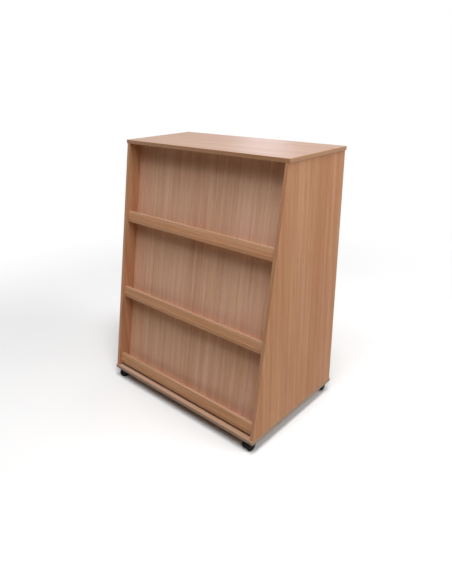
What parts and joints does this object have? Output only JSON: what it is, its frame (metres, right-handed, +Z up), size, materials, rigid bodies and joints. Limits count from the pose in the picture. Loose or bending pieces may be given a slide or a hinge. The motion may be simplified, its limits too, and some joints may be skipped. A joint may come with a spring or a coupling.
{
  "type": "periodical display rack",
  "caption": "Mobile sloping-front periodical display rack: beech-faced carcass with a recessed display board, lipped ledges for face-out magazines and swivel castors.",
  "frame": {"origin": "on the floor, under the middle of the base panel", "axes": "+Z up; -Y is the display side, and +X is to the right of someone who faces it"},
  "size_m": [0.908, 0.593, 1.163],
  "materials": {
    "beech_side": "beech-faced board, satin",
    "beech_top": "beech-faced board, satin",
    "beech_base": "beech-faced board, satin",
    "beech_back": "beech-faced board, satin",
    "beech_display": "beech-faced board, satin",
    "beech_edging": "satin beech-print ABS",
    "beech_ledge": "beech-faced board, satin",
    "dowel_wood": "bare beech",
    "cam_zinc": "die-cast zinc alloy",
    "zinc_plated_steel": "bright zinc plate",
    "castor_nylon": "black moulded nylon",
    "wheel_nylon": "black moulded nylon"
  },
  "bodies": {
    "carcass": {"side_panel_left": "beech_side", "side_panel_right": "beech_side", "top_panel": "beech_top", "base_panel": "beech_base", "back_panel": "beech_back", "display_board": "beech_display", "side_front_edging_left": "beech_edging", "side_back_edging_left": "beech_edging", "side_front_edging_right": "beech_edging", "side_back_edging_right": "beech_edging", "top_edging": "beech_edging", "base_edging": "beech_edging", "shelf_upper": "beech_ledge", "shelf_edging_upper": "beech_edging", "lip_upper": "beech_ledge", "lip_capping_upper": "beech_edging", "shelf_middle": "beech_ledge", "shelf_edging_middle": "beech_edging", "lip_middle": "beech_ledge", "lip_capping_middle": "beech_edging", "shelf_lower": "beech_ledge", "shelf_edging_lower": "beech_edging", "lip_lower": "beech_ledge", "lip_capping_lower": "beech_edging", "wood_dowels": "dowel_wood", "cam_discs": "cam_zinc", "cam_bolts": "cam_zinc", "shelf_screws": "zinc_plated_steel", "lip_screws": "zinc_plated_steel", "castor_plate_front_left": "zinc_plated_steel", "castor_plate_front_right": "zinc_plated_steel", "castor_plate_back_left": "zinc_plated_steel", "castor_plate_back_right": "zinc_plated_steel", "castor_kingpins": "zinc_plated_steel", "castor_washers": "zinc_plated_steel", "castor_screws": "zinc_plated_steel"},
    "swivel_front_left": {"castor_body_front_left": "castor_nylon", "castor_axle_front_left": "zinc_plated_steel"},
    "wheel_front_left_a": {"castor_wheel_front_left_a": "wheel_nylon"},
    "wheel_front_left_b": {"castor_wheel_front_left_b": "wheel_nylon"},
    "swivel_front_right": {"castor_body_front_right": "castor_nylon", "castor_axle_front_right": "zinc_plated_steel"},
    "wheel_front_right_a": {"castor_wheel_front_right_a": "wheel_nylon"},
    "wheel_front_right_b": {"castor_wheel_front_right_b": "wheel_nylon"},
    "swivel_back_left": {"castor_body_back_left": "castor_nylon", "castor_axle_back_left": "zinc_plated_steel"},
    "wheel_back_left_a": {"castor_wheel_back_left_a": "wheel_nylon"},
    "wheel_back_left_b": {"castor_wheel_back_left_b": "wheel_nylon"},
    "swivel_back_right": {"castor_body_back_right": "castor_nylon", "castor_axle_back_right": "zinc_plated_steel"},
    "wheel_back_right_a": {"castor_wheel_back_right_a": "wheel_nylon"},
    "wheel_back_right_b": {"castor_wheel_back_right_b": "wheel_nylon"}
  },
  "joints": [
    {"name": "castor_swivel_front_left", "type": "hinge", "parent": "carcass", "child": "swivel_front_left", "pos_m": [-0.413, -0.25702, 0.04], "axis": [0, 0, 1], "continuous": true},
    {"name": "wheel_spin_front_left_a", "type": "hinge", "parent": "swivel_front_left", "child": "wheel_front_left_a", "pos_m": [-0.42599, -0.26452, 0.02], "axis": [0.5, -0.866, 0], "continuous": true},
    {"name": "wheel_spin_front_left_b", "type": "hinge", "parent": "swivel_front_left", "child": "wheel_front_left_b", "pos_m": [-0.42599, -0.26452, 0.02], "axis": [0.5, -0.866, 0], "continuous": true},
    {"name": "castor_swivel_front_right", "type": "hinge", "parent": "carcass", "child": "swivel_front_right", "pos_m": [0.413, -0.25702, 0.04], "axis": [0, 0, 1], "continuous": true},
    {"name": "wheel_spin_front_right_a", "type": "hinge", "parent": "swivel_front_right", "child": "wheel_front_right_a", "pos_m": [0.41143, -0.27193, 0.02], "axis": [0.9945, -0.1045, 0], "continuous": true},
    {"name": "wheel_spin_front_right_b", "type": "hinge", "parent": "swivel_front_right", "child": "wheel_front_right_b", "pos_m": [0.41143, -0.27193, 0.02], "axis": [0.9945, -0.1045, 0], "continuous": true},
    {"name": "castor_swivel_back_left", "type": "hinge", "parent": "carcass", "child": "swivel_back_left", "pos_m": [-0.413, 0.25702, 0.04], "axis": [0, 0, 1], "continuous": true},
    {"name": "wheel_spin_back_left_a", "type": "hinge", "parent": "swivel_back_left", "child": "wheel_back_left_a", "pos_m": [-0.42599, 0.26452, 0.02], "axis": [-0.5, -0.866, 0], "continuous": true},
    {"name": "wheel_spin_back_left_b", "type": "hinge", "parent": "swivel_back_left", "child": "wheel_back_left_b", "pos_m": [-0.42599, 0.26452, 0.02], "axis": [-0.5, -0.866, 0], "continuous": true},
    {"name": "castor_swivel_back_right", "type": "hinge", "parent": "carcass", "child": "swivel_back_right", "pos_m": [0.413, 0.25702, 0.04], "axis": [0, 0, 1], "continuous": true},
    {"name": "wheel_spin_back_right_a", "type": "hinge", "parent": "swivel_back_right", "child": "wheel_back_right_a", "pos_m": [0.41195, 0.27198, 0.02], "axis": [-0.9976, -0.0698, 0], "continuous": true},
    {"name": "wheel_spin_back_right_b", "type": "hinge", "parent": "swivel_back_right", "child": "wheel_back_right_b", "pos_m": [0.41195, 0.27198, 0.02], "axis": [-0.9976, -0.0698, 0], "continuous": true}
  ]
}
